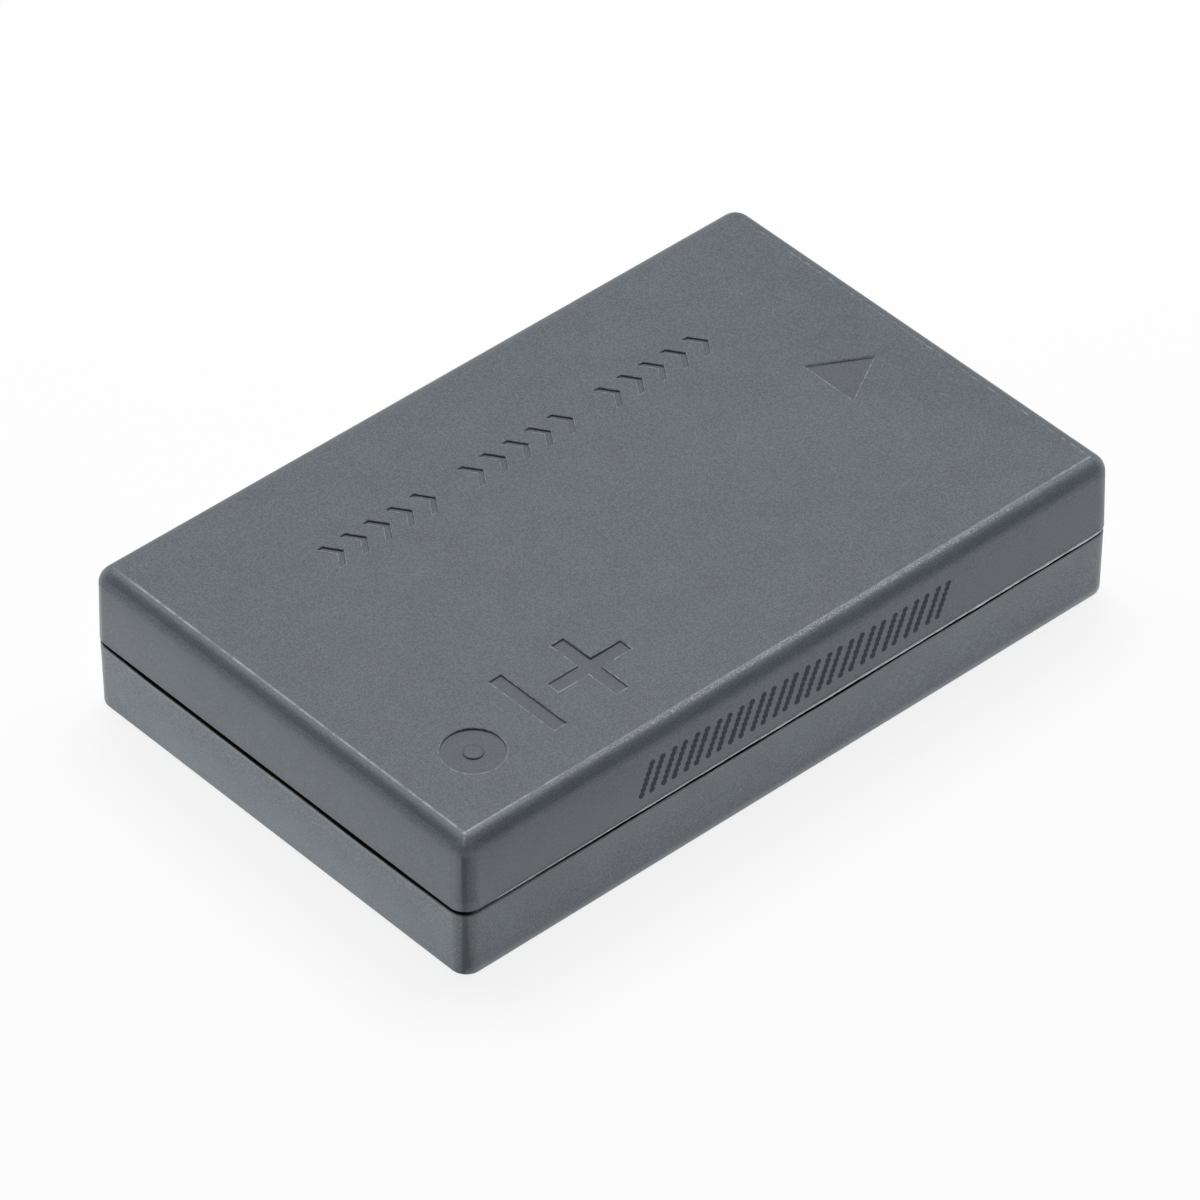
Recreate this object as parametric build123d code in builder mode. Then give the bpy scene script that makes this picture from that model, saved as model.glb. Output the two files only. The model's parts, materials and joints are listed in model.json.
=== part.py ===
from build123d import *
import os
from math import radians, tan

os.makedirs("parts", exist_ok=True)

# Slim rechargeable battery of a compact camera, in millimetres.
# X runs along the length to the contact end, Z is up, the origin is under the middle of the bottom face.

# Outer form, widest at the seam between the two shells
length = 50.0
width = 32.1
height = 9.95
seam_height = 4.95
draft_angle = 1.0
corner_radius = 1.2
top_edge_radius = 1.05
bottom_edge_radius = 0.25

# Shell walls
side_wall = 0.9
flat_wall = 0.7
cavity_radius = 0.5

# Lapped and welded seam
tongue_depth = 1.0
tongue_thickness = 0.4
tongue_clearance = 0.05
seam_gap = 0.2
shell_step = 0.02
lower_rim_rounding = 0.3

# Contact plates and their windows in the end wall
contact_width = 2.4
contact_height = 3.2
contact_radius = 0.3
contact_chamfer = 0.1
contact_pitch = 4.2
contact_margin = 10.55
contact_recess = 0.5
window_clearance = 0.15

# Protection board
board_margin = 2.1
board_thickness = 0.8
board_radius = 0.6
board_clearance = 0.1
board_edge_clearance = 0.15
bay_depth = 3.2

# Cell
pad_thickness = 0.3
pad_margin = 1.2
pad_radius = 1.0
end_pad_thickness = 0.5
cell_side_clearance = 0.2
cell_corner_radius = 2.6
cell_end_radius = 0.7
can_wall = 0.5
lid_recess = 0.3
plug_radius = 1.0
plug_height = 0.2
plug_taper = 45
plug_margin = 3.3
vent_length = 4.6
vent_width = 2.2
vent_groove_width = 0.3
vent_groove_depth = 0.15
vent_offset = 5.2

# Pole, its gasket and the sheet on the lid
insulator_thickness = 0.2
insulator_margin = 5.0
insulator_clearance = 0.3
gasket_length = 5.2
gasket_width = 3.6
gasket_thickness = 0.4
pole_length = 4.2
pole_width = 2.6
pole_thickness = 0.4
pole_radius = 0.5
shank_radius = 0.8
shank_clearance = 0.05

# Cutoff and nickel strips
cutoff_length = 4.4
cutoff_width = 2.8
cutoff_offset = 5.4
cutoff_rounding = 0.15
strip_thickness = 0.15
strip_width = 2.4
strip_bend = 0.35
strip_foot = 1.8
strip_overlap = 1.6
slit_length = 1.6
slit_width = 0.4
positive_margin = 2.9

# Ribs inside the shells
rib_thickness = 0.9
rib_clearance = 0.1
cell_rib_width = 2.2
board_rib_height = 1.8
board_rib_inset = 0.4
board_rib_width = 1.2

# Chips on the board
chip_height = 1.0
chip_standoff = 0.1
chip_taper = 6
lead_thickness = 0.15
lead_reach = 0.6
lead_width = 0.35
switch_length = 3.0
switch_width = 4.4
switch_lead_count = 4
switch_pitch = 0.65
switch_offset = -2.6
control_length = 2.9
control_width = 1.6
control_lead_count = 3
control_pitch = 0.95
control_offset = 2.4
passive_length = 1.6
passive_width = 0.8
passive_height = 0.6
end_cap_length = 0.35
end_cap_rise = 0.04
passive_drop = 2.7
sensor_offset = 6.2

# Places worked out from the sizes above
half_length = length / 2
half_width = width / 2
mid_height = height / 2
draft_slope = tan(radians(draft_angle))
draft_margin = draft_slope * max(seam_height, height - seam_height)
room_half_length = half_length - side_wall - draft_margin
room_half_width = half_width - side_wall - draft_margin
lower_rim = seam_height - seam_gap
tongue_foot = seam_height - tongue_depth
outer_lap = side_wall - tongue_thickness
board_front = room_half_length - board_clearance
board_back = board_front - board_thickness
contact_face = half_length - contact_recess
contact_offset = half_width - contact_margin
cell_front = board_back - bay_depth
cell_back = end_pad_thickness - room_half_length
cell_half_width = room_half_width - cell_side_clearance
cell_width = 2 * cell_half_width
cell_thickness = height - 2 * (flat_wall + pad_thickness)
lid_face = cell_front - lid_recess
insulator_face = lid_face + insulator_thickness
pole_face = lid_face + gasket_thickness + pole_thickness
cutoff_end = cutoff_offset + cutoff_length / 2
positive_reach = cell_half_width - positive_margin
board_width = 2 * (room_half_width - board_margin)


def outline(inset, mode=Mode.ADD):
    radius = max(corner_radius - inset, cavity_radius)
    RectangleRounded(length - 2 * inset, width - 2 * inset, radius, mode=mode)


def level(z):
    return Plane.XY.offset(z)


def downward(z):
    return Plane(origin=(0, 0, z), x_dir=(1, 0, 0), z_dir=(0, 0, -1))


def facing_contacts(x):
    # Local x runs along +Y and local y along +Z, at the middle of the height
    return Plane(origin=(x, 0, mid_height), x_dir=(0, 1, 0), z_dir=(1, 0, 0))


def facing_cell(x):
    # Local x runs along +Y, and the plane looks back at the cell
    return Plane(origin=(x, 0, mid_height), x_dir=(0, 1, 0), z_dir=(-1, 0, 0))


def contact_places(z):
    return [(contact_offset + step * contact_pitch, z) for step in (-1, 0, 1)]


def cut_windows():
    window_width = contact_width + 2 * window_clearance
    window_height = contact_height + 2 * window_clearance
    with BuildSketch(facing_contacts(half_length)) as windows:
        with Locations(*contact_places(seam_height - mid_height)):
            RectangleRounded(window_width, window_height, contact_radius)
    extrude(windows.sketch, amount=-2 * side_wall, mode=Mode.SUBTRACT)


def add_ribs(plane, floor_gap):
    # Two ribs stop the cell, and two more hold the board against the end wall
    cell_rib_x = cell_front + rib_clearance + rib_thickness / 2
    cell_rib_y = room_half_width + draft_margin - cell_rib_width / 2
    cell_rib_height = floor_gap - tongue_depth
    board_rib_x = board_back - rib_clearance - rib_thickness / 2
    board_rib_y = board_width / 2 - board_rib_inset - board_rib_width / 2
    with BuildSketch(plane) as cell_ribs:
        with Locations((cell_rib_x, cell_rib_y), (cell_rib_x, -cell_rib_y)):
            Rectangle(rib_thickness, cell_rib_width)
    extrude(cell_ribs.sketch, amount=cell_rib_height)
    with BuildSketch(plane) as board_ribs:
        with Locations((board_rib_x, board_rib_y), (board_rib_x, -board_rib_y)):
            Rectangle(rib_thickness, board_rib_width)
    extrude(board_ribs.sketch, amount=board_rib_height)


# Upper shell: drafted half with a tongue round its rim
with BuildPart() as upper_shell:
    with BuildSketch(level(seam_height)):
        outline(0)
    extrude(amount=height - seam_height, taper=draft_angle)
    fillet(upper_shell.edges().group_by(Axis.Z)[-1], top_edge_radius)
    with BuildSketch(level(seam_height)):
        outline(side_wall)
    extrude(amount=height - seam_height - flat_wall, taper=draft_angle, mode=Mode.SUBTRACT)
    with BuildSketch(downward(seam_height)):
        outline(outer_lap)
        outline(side_wall, mode=Mode.SUBTRACT)
    extrude(amount=tongue_depth)
    add_ribs(downward(height - flat_wall), height - flat_wall - seam_height)
    cut_windows()
upper_shell.part.label = "upper_shell"
export_step(upper_shell.part, "parts/upper_shell.step")

# Lower shell: drafted tray with a rebate that takes the tongue, set in a little behind the upper rim
with BuildPart() as lower_shell:
    with BuildSketch(downward(lower_rim)):
        outline(shell_step)
    extrude(amount=lower_rim, taper=draft_angle)
    fillet(lower_shell.edges().group_by(Axis.Z)[0], bottom_edge_radius)
    fillet(lower_shell.edges().group_by(Axis.Z)[-1], lower_rim_rounding)
    with BuildSketch(downward(lower_rim)):
        outline(side_wall)
    extrude(amount=lower_rim - flat_wall, taper=draft_angle, mode=Mode.SUBTRACT)
    with BuildSketch(level(tongue_foot)):
        outline(outer_lap - tongue_clearance)
    extrude(amount=tongue_depth, mode=Mode.SUBTRACT)
    add_ribs(level(flat_wall), seam_height - flat_wall)
    cut_windows()
lower_shell.part.label = "lower_shell"
export_step(lower_shell.part, "parts/lower_shell.step")

# Cell: one sealed can with a sunk lid, a fill plug and a scored vent
with BuildPart() as cell:
    with BuildSketch(facing_contacts(cell_back)):
        RectangleRounded(cell_width, cell_thickness, cell_corner_radius)
    extrude(amount=cell_front - cell_back)
    fillet(cell.edges().group_by(Axis.X)[0], cell_end_radius)
    with BuildSketch(facing_contacts(cell_front)):
        RectangleRounded(cell_width - 2 * can_wall, cell_thickness - 2 * can_wall, cell_corner_radius - can_wall)
    extrude(amount=-lid_recess, mode=Mode.SUBTRACT)
    with BuildSketch(facing_contacts(lid_face)):
        with Locations((plug_margin - cell_half_width, 0)):
            Circle(plug_radius)
    extrude(amount=plug_height, taper=plug_taper)
    with BuildSketch(facing_contacts(lid_face)):
        with Locations((vent_offset, 0)):
            SlotOverall(vent_length, vent_width)
            SlotOverall(vent_length - 2 * vent_groove_width, vent_width - 2 * vent_groove_width, mode=Mode.SUBTRACT)
    extrude(amount=-vent_groove_depth, mode=Mode.SUBTRACT)
cell.part.label = "cell"
export_step(cell.part, "parts/cell.step")

# Sheet on the lid, open over the gasket and the vent
with BuildPart() as lid_insulator:
    with BuildSketch(facing_contacts(lid_face)):
        sheet_length = 2 * (cell_half_width - insulator_margin)
        sheet_width = cell_thickness - 2 * (can_wall + insulator_clearance)
        RectangleRounded(sheet_length, sheet_width, pad_radius)
        Rectangle(
            gasket_length + 2 * insulator_clearance,
            gasket_width + 2 * insulator_clearance,
            mode=Mode.SUBTRACT,
        )
        with Locations((vent_offset, 0)):
            SlotOverall(
                vent_length - 2 * vent_groove_width,
                vent_width - 2 * vent_groove_width,
                mode=Mode.SUBTRACT,
            )
    extrude(amount=insulator_thickness)
lid_insulator.part.label = "lid_insulator"
export_step(lid_insulator.part, "parts/lid_insulator.step")

# Pole plate with its shank, and the gasket that keeps it off the lid
with BuildPart() as pole_gasket:
    with BuildSketch(facing_contacts(lid_face)):
        RectangleRounded(gasket_length, gasket_width, pole_radius)
        Circle(shank_radius + shank_clearance, mode=Mode.SUBTRACT)
    extrude(amount=gasket_thickness)
pole_gasket.part.label = "pole_gasket"
export_step(pole_gasket.part, "parts/pole_gasket.step")

with BuildPart() as negative_pole:
    with BuildSketch(facing_contacts(pole_face - pole_thickness)):
        RectangleRounded(pole_length, pole_width, pole_radius)
    extrude(amount=pole_thickness)
    with BuildSketch(facing_contacts(pole_face - pole_thickness)):
        Circle(shank_radius)
    extrude(amount=shank_clearance - gasket_thickness)
negative_pole.part.label = "negative_pole"
export_step(negative_pole.part, "parts/negative_pole.step")

# Thermal cutoff, lying on the sheet beside the pole
with BuildPart() as thermal_cutoff:
    with BuildSketch(facing_contacts(insulator_face)):
        with Locations((-cutoff_offset, 0)):
            Rectangle(cutoff_length, cutoff_width)
    extrude(amount=pole_face - insulator_face)
    fillet(thermal_cutoff.edges().filter_by(Axis.X), cutoff_rounding)
thermal_cutoff.part.label = "thermal_cutoff"
export_step(thermal_cutoff.part, "parts/thermal_cutoff.step")

# Flat nickel strip from the pole to the cutoff, slit where it is spot welded
with BuildPart() as negative_tab:
    tab_start = pole_length / 2
    tab_end = cutoff_length / 2 - cutoff_offset - strip_overlap
    with BuildSketch(facing_contacts(pole_face)):
        with Locations(((tab_start + tab_end) / 2, 0)):
            RectangleRounded(tab_start - tab_end, strip_width, slit_width)
        with Locations((tab_start - slit_length / 2, 0)):
            Rectangle(slit_length, slit_width, mode=Mode.SUBTRACT)
    extrude(amount=strip_thickness)
negative_tab.part.label = "negative_tab"
export_step(negative_tab.part, "parts/negative_tab.step")

# Bent nickel strips up to the board
with BuildPart() as cutoff_lead:
    with BuildLine(Plane.XY.offset(mid_height - strip_width / 2)):
        FilletPolyline(
            (pole_face, strip_foot - cutoff_end),
            (pole_face, -cutoff_end),
            (board_back, -cutoff_end),
            (board_back, strip_foot - cutoff_end),
            radius=strip_bend,
        )
    make_brake_formed(strip_thickness, strip_width, side=Side.LEFT)
cutoff_lead.part.label = "cutoff_lead"
export_step(cutoff_lead.part, "parts/cutoff_lead.step")

with BuildPart() as positive_tab:
    with BuildLine(Plane.XY.offset(mid_height - strip_width / 2)):
        FilletPolyline(
            (board_back, positive_reach - strip_foot),
            (board_back, positive_reach),
            (lid_face, positive_reach),
            (lid_face, positive_reach - strip_foot),
            radius=strip_bend,
        )
    make_brake_formed(strip_thickness, strip_width, side=Side.LEFT)
positive_tab.part.label = "positive_tab"
export_step(positive_tab.part, "parts/positive_tab.step")

# Protection board, upright behind the end wall
with BuildPart() as circuit_board:
    board_height = height - 2 * (flat_wall + board_edge_clearance)
    with BuildSketch(facing_cell(board_front)):
        RectangleRounded(board_width, board_height, board_radius)
    extrude(amount=board_thickness)
circuit_board.part.label = "circuit_board"
export_step(circuit_board.part, "parts/circuit_board.step")


def leaded_chip(offset, body_length, body_width, lead_count, pitch):
    # Moulded body with a row of bent leads on each of two sides
    inside = body_width / 4
    riser = body_width / 2 + lead_reach / 2
    foot_end = body_width / 2 + lead_reach
    lead_top = chip_standoff + chip_height / 2
    with BuildSketch(facing_cell(board_back - chip_standoff)) as body:
        with Locations((offset, 0)):
            Rectangle(body_length, body_width)
    extrude(body.sketch, amount=chip_height, taper=chip_taper)
    first_lead = offset - (lead_count - 1) / 2 * pitch
    lead_plane = Plane(origin=(board_back, first_lead, mid_height), x_dir=(0, 0, 1), z_dir=(0, 1, 0))
    with BuildSketch(*[lead_plane.offset(step * pitch) for step in range(lead_count)]) as profiles:
        with BuildLine():
            Polyline(
                (riser, 0),
                (foot_end, 0),
                (foot_end, -lead_thickness),
                (riser + lead_thickness, -lead_thickness),
                (riser + lead_thickness, -lead_top),
                (inside, -lead_top),
                (inside, lead_thickness - lead_top),
                (riser, lead_thickness - lead_top),
                close=True,
            )
        make_face()
        mirror(about=Plane.YZ)
    extrude(profiles.sketch, amount=lead_width / 2, both=True)


# Transistor pair and control chip on the board's inner face
with BuildPart() as switch_chip:
    leaded_chip(switch_offset, switch_length, switch_width, switch_lead_count, switch_pitch)
switch_chip.part.label = "switch_chip"
export_step(switch_chip.part, "parts/switch_chip.step")

with BuildPart() as protection_chip:
    leaded_chip(control_offset, control_length, control_width, control_lead_count, control_pitch)
protection_chip.part.label = "protection_chip"
export_step(protection_chip.part, "parts/protection_chip.step")

# Small chip parts with plated ends, round the control chip
passive_places = {
    "temperature_sensor": (sensor_offset, 0),
    "sense_resistor": (control_offset, passive_drop),
    "filter_capacitor": (control_offset, -passive_drop),
}
for name, (across, along) in passive_places.items():
    with BuildPart() as passive:
        end_shift = (passive_length - end_cap_length) / 2
        with BuildSketch(facing_cell(board_back)):
            with Locations((across, along)):
                Rectangle(passive_length - end_cap_length, passive_width - 2 * end_cap_rise)
        extrude(amount=passive_height - end_cap_rise)
        with BuildSketch(facing_cell(board_back)):
            with Locations((across - end_shift, along), (across + end_shift, along)):
                Rectangle(end_cap_length, passive_width)
        extrude(amount=passive_height)
    passive.part.label = name
    export_step(passive.part, f"parts/{name}.step")

# Gold-plated contact plates, from the board out into the windows
contact_names = ("contact_positive", "contact_sense", "contact_negative")
for name, place in zip(contact_names, contact_places(seam_height - mid_height)):
    with BuildPart() as contact:
        with BuildSketch(facing_contacts(board_front)):
            with Locations(place):
                RectangleRounded(contact_width, contact_height, contact_radius)
        extrude(amount=contact_face - board_front)
        chamfer(contact.edges().group_by(Axis.X)[-1], contact_chamfer)
    contact.part.label = name
    export_step(contact.part, f"parts/{name}.step")

# Adhesive pads over and under the cell, and a foam strip at its blind end
pad_length = cell_front - cell_back - 2 * (cell_end_radius + pad_margin)
pad_width = cell_width - 2 * (cell_corner_radius + pad_margin)
pad_centre = (cell_front + cell_back) / 2
for name, floor in (("lower_pad", flat_wall), ("upper_pad", height - flat_wall - pad_thickness)):
    with BuildPart() as pad:
        with BuildSketch(level(floor)):
            with Locations((pad_centre, 0)):
                RectangleRounded(pad_length, pad_width, pad_radius)
        extrude(amount=pad_thickness)
    pad.part.label = name
    export_step(pad.part, f"parts/{name}.step")

with BuildPart() as end_pad:
    with BuildSketch(facing_contacts(cell_back)):
        RectangleRounded(pad_width, cell_thickness - 2 * (cell_end_radius + pad_margin), pad_radius)
    extrude(amount=-end_pad_thickness)
end_pad.part.label = "end_pad"
export_step(end_pad.part, "parts/end_pad.step")
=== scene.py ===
import json
import math
import bmesh
import bpy
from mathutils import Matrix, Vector


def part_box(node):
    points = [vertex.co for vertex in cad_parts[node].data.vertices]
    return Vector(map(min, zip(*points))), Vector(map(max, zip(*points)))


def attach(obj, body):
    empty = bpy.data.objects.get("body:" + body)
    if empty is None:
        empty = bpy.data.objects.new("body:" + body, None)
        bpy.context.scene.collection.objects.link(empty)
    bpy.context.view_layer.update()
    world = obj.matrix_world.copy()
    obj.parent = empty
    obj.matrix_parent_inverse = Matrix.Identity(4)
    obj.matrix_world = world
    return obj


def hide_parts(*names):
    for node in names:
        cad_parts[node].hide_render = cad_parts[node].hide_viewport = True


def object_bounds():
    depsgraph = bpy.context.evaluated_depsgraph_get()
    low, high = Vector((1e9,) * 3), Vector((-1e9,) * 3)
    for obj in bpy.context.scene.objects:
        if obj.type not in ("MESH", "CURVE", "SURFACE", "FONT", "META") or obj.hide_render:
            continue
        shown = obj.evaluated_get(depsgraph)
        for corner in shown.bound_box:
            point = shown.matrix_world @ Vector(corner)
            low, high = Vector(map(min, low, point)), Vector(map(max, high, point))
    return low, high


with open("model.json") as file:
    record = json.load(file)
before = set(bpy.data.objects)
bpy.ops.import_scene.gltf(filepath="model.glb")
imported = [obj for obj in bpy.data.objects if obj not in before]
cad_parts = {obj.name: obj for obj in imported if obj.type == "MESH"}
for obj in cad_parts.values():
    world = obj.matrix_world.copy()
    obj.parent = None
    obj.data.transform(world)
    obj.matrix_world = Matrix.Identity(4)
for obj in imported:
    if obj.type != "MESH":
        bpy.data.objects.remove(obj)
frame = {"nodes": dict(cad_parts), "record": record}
cadLow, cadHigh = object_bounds()
mm = 0.001
halfLength = cadHigh.x / mm
halfWidth = cadHigh.y / mm
topZ = cadHigh.z / mm
scene = bpy.context.scene
scene.view_settings.view_transform = "Standard"

# the camera stands where the photograph was taken from, in degrees and mm
cameraSet = {
    "azimuth": -42.064,
    "elevation": 40.909,
    "distance": 539.79,
    "lookAt": (0.0, 0.0, 6.6),
    "shiftRight": -0.306,
    "shiftUp": -2.49,
    "lens": 282.8,
    "sensor": 36,
    "clip": (10, 20000),
}

# soft boxes: direction in degrees, distance and size in mm, level as the share of full white
# on a facing surface, and whether the box itself shows in a shiny surface
softBoxes = {
    "topBox": {"azimuth": 138, "elevation": 66, "distance": 450, "size": (520, 300),
               "level": 0.79, "shows": True},
    "leftBox": {"azimuth": -130, "elevation": 4, "distance": 400, "size": (320, 60),
                "level": 0.53, "shows": False},
    "rightBox": {"azimuth": 44, "elevation": 4, "distance": 400, "size": (320, 60),
                 "level": 0.34, "shows": False},
}
# white sweep, dim room and pale floor: levels where 1 is white, sizes in mm
studioSet = {
    "sweepLevel": 0.5,
    "roomLevel": 0.05,
    "sweepEdge": (0.2, 0.6),
    "floorSize": 6000,
    "floorDrop": 0.02,
    "floorColor": (0.86, 0.86, 0.86),
    "floorGlow": 0.78,
    "floorShine": 1.08,
}


def srgb(red, green, blue):
    channels = []
    for value in (red, green, blue):
        share = value / 255
        channels.append(share / 12.92 if share <= 0.04045 else ((share + 0.055) / 1.055) ** 2.4)
    return (*channels, 1.0)


def studioDirection(azimuth, elevation):
    turn, rise = math.radians(azimuth), math.radians(elevation)
    return Vector((math.sin(turn) * math.cos(rise), -math.cos(turn) * math.cos(rise), math.sin(rise)))


def makeObject(name, data):
    thing = bpy.data.objects.new(name, data)
    scene.collection.objects.link(thing)
    return thing


def plainMesh(thing):
    # the evaluated object becomes a plain mesh with no modifier left
    graph = bpy.context.evaluated_depsgraph_get()
    mesh = bpy.data.meshes.new_from_object(thing.evaluated_get(graph))
    thing.modifiers.clear()
    thing.data = mesh
    return thing


def feed(tree, socket, value):
    # a socket takes a link, anything else is set on it
    if isinstance(value, bpy.types.NodeSocket):
        tree.links.new(value, socket)
    else:
        socket.default_value = value


def mathNode(tree, operation, *values):
    node = tree.nodes.new("ShaderNodeMath")
    node.operation = operation
    for socket, value in zip(node.inputs, values):
        feed(tree, socket, value)
    return node.outputs[0]


def product(tree, first, *others):
    for other in others:
        first = mathNode(tree, "MULTIPLY", first, other)
    return first


def largest(tree, first, *others):
    for other in others:
        first = mathNode(tree, "MAXIMUM", first, other)
    return first


def inverted(tree, share):
    return mathNode(tree, "SUBTRACT", 1.0, share)


def apart(tree, first, second):
    return mathNode(tree, "ABSOLUTE", mathNode(tree, "SUBTRACT", first, second))


def vectorNode(tree, operation, first, second):
    node = tree.nodes.new("ShaderNodeVectorMath")
    node.operation = operation
    feed(tree, node.inputs[0], first)
    feed(tree, node.inputs[1], second)
    return node.outputs["Value" if operation == "DOT_PRODUCT" else "Vector"]


def separateNode(tree, vector):
    node = tree.nodes.new("ShaderNodeSeparateXYZ")
    tree.links.new(vector, node.inputs[0])
    return node.outputs


def combineNode(tree, x, y, z):
    node = tree.nodes.new("ShaderNodeCombineXYZ")
    for socket, value in zip(node.inputs, (x, y, z)):
        feed(tree, socket, value)
    return node.outputs[0]


def rangeNode(tree, value, fromLow, fromHigh, toLow=0.0, toHigh=1.0):
    node = tree.nodes.new("ShaderNodeMapRange")
    node.interpolation_type = "SMOOTHSTEP"
    for socket, part in zip(node.inputs, (value, fromLow, fromHigh, toLow, toHigh)):
        feed(tree, socket, part)
    return node.outputs["Result"]


def fadeOut(tree, distance, reach):
    return rangeNode(tree, distance, 0.0, reach, 1.0, 0.0)


def mixNode(tree, kind, share, first, second):
    node = tree.nodes.new("ShaderNodeMix")
    node.data_type = kind
    sides = {"FLOAT": (2, 3, 0), "RGBA": (6, 7, 2)}[kind]
    feed(tree, node.inputs[0], share)
    feed(tree, node.inputs[sides[0]], first)
    feed(tree, node.inputs[sides[1]], second)
    return node.outputs[sides[2]]


def noiseNode(tree, place, size, detail=2.0, roughness=0.6):
    node = tree.nodes.new("ShaderNodeTexNoise")
    node.inputs["Detail"].default_value = detail
    node.inputs["Roughness"].default_value = roughness
    tree.links.new(place, node.inputs["Vector"])
    tree.links.new(mathNode(tree, "DIVIDE", 1.0, size), node.inputs["Scale"])
    return node.outputs["Fac"]


def objectPlace(tree):
    # object coordinates in mm, so that the effects are given their sizes in mm
    place = tree.nodes.new("ShaderNodeTexCoord").outputs["Object"]
    return vectorNode(tree, "MULTIPLY", place, (1 / mm, 1 / mm, 1 / mm))


def makeCamera():
    back = studioDirection(cameraSet["azimuth"], cameraSet["elevation"])
    right = studioDirection(cameraSet["azimuth"] + 90, 0)
    up = back.cross(right)
    data = bpy.data.cameras.new("camera")
    data.lens = cameraSet["lens"]
    data.sensor_width = cameraSet["sensor"]
    data.clip_start = cameraSet["clip"][0] * mm
    data.clip_end = cameraSet["clip"][1] * mm
    camera = makeObject("camera", data)
    place = Vector(cameraSet["lookAt"]) + back * cameraSet["distance"]
    place += right * cameraSet["shiftRight"] + up * cameraSet["shiftUp"]
    camera.location = place * mm
    camera.rotation_mode = "QUATERNION"
    camera.rotation_quaternion = (-back).to_track_quat("-Z", "Y")
    scene.camera = camera


def makeLights():
    for name, box in softBoxes.items():
        place = studioDirection(box["azimuth"], box["elevation"]) * box["distance"] * mm
        data = bpy.data.lights.new(name, "AREA")
        data.shape = "RECTANGLE"
        data.size = box["size"][0] * mm
        data.size_y = box["size"][1] * mm
        data.energy = box["level"] * math.pi ** 2 * place.length_squared
        lamp = makeObject(name, data)
        lamp.visible_glossy = box["shows"]
        lamp.location = place
        lamp.rotation_mode = "QUATERNION"
        lamp.rotation_quaternion = (-place).to_track_quat("-Z", "Y")


def makeWorld():
    # a white sweep stands behind the object, and the room on the near side is dim
    world = bpy.data.worlds.new("studioWorld")
    world.use_nodes = True
    tree = world.node_tree
    tree.nodes.clear()
    output = tree.nodes.new("ShaderNodeOutputWorld")
    light = tree.nodes.new("ShaderNodeBackground")
    place = tree.nodes.new("ShaderNodeTexCoord").outputs["Generated"]
    behind = studioDirection(cameraSet["azimuth"] + 180, 0)
    facing = vectorNode(tree, "DOT_PRODUCT", place, behind)
    levels = (studioSet["roomLevel"], studioSet["sweepLevel"])
    strength = rangeNode(tree, facing, *studioSet["sweepEdge"], *levels)
    tree.links.new(strength, light.inputs["Strength"])
    tree.links.new(light.outputs[0], output.inputs["Surface"])
    scene.world = world


def mixShader(tree, share, first, second):
    node = tree.nodes.new("ShaderNodeMixShader")
    for socket, output in zip(node.inputs, (share, first.outputs[0], second.outputs[0])):
        tree.links.new(output, socket)
    return node


def floorMaterial():
    material = bpy.data.materials.new("paleFloor")
    material.use_nodes = True
    tree = material.node_tree
    tree.nodes.clear()
    diffuse = tree.nodes.new("ShaderNodeBsdfDiffuse")
    diffuse.inputs["Color"].default_value = (*studioSet["floorColor"], 1)
    glow = tree.nodes.new("ShaderNodeEmission")
    glow.inputs["Strength"].default_value = studioSet["floorShine"]
    # camera, glossy and transmission rays see the white floor itself
    path = tree.nodes.new("ShaderNodeLightPath").outputs
    seen = largest(tree, path["Is Camera Ray"], path["Is Glossy Ray"], path["Is Transmission Ray"])
    white = mixShader(tree, product(tree, seen, studioSet["floorGlow"]), diffuse, glow)
    # from below the floor is clear, so that the underside can be looked at
    below = tree.nodes.new("ShaderNodeNewGeometry").outputs["Backfacing"]
    faced = mixShader(tree, below, white, tree.nodes.new("ShaderNodeBsdfTransparent"))
    output = tree.nodes.new("ShaderNodeOutputMaterial")
    tree.links.new(faced.outputs[0], output.inputs["Surface"])
    return material


def makeFloor():
    half = studioSet["floorSize"] * mm / 2
    level = -studioSet["floorDrop"] * mm
    mesh = bpy.data.meshes.new("studioFloor")
    corners = [(-half, -half, level), (half, -half, level), (half, half, level), (-half, half, level)]
    mesh.from_pydata(corners, [], [(0, 1, 2, 3)])
    floor = makeObject("studioFloor", mesh)
    mesh.materials.append(floorMaterial())


makeCamera()
makeLights()
makeWorld()
makeFloor()
print("studio ready")


def socketKind(value):
    # a word names the kind of socket, and a value shows which kind holds it
    if isinstance(value, str):
        return f"NodeSocket{value}"
    if isinstance(value, tuple):
        return {3: "NodeSocketVector", 4: "NodeSocketColor"}[len(value)]
    return {int: "NodeSocketInt", float: "NodeSocketFloat"}[type(value)]


def newGroup(name, treeKind, inputs, outputs):
    tree = bpy.data.node_groups.new(name, treeKind)
    for title, value in inputs.items():
        socket = tree.interface.new_socket(title, in_out="INPUT", socket_type=socketKind(value))
        if not isinstance(value, str):
            socket.default_value = value
    for title, kind in outputs.items():
        tree.interface.new_socket(title, in_out="OUTPUT", socket_type=socketKind(kind))
    given = tree.nodes.new("NodeGroupInput").outputs
    result = tree.nodes.new("NodeGroupOutput").inputs
    return tree, given, result


# shared effect: fine grain, which may be drawn out along one direction
grainRamp = (0.34, 0.66)


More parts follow.
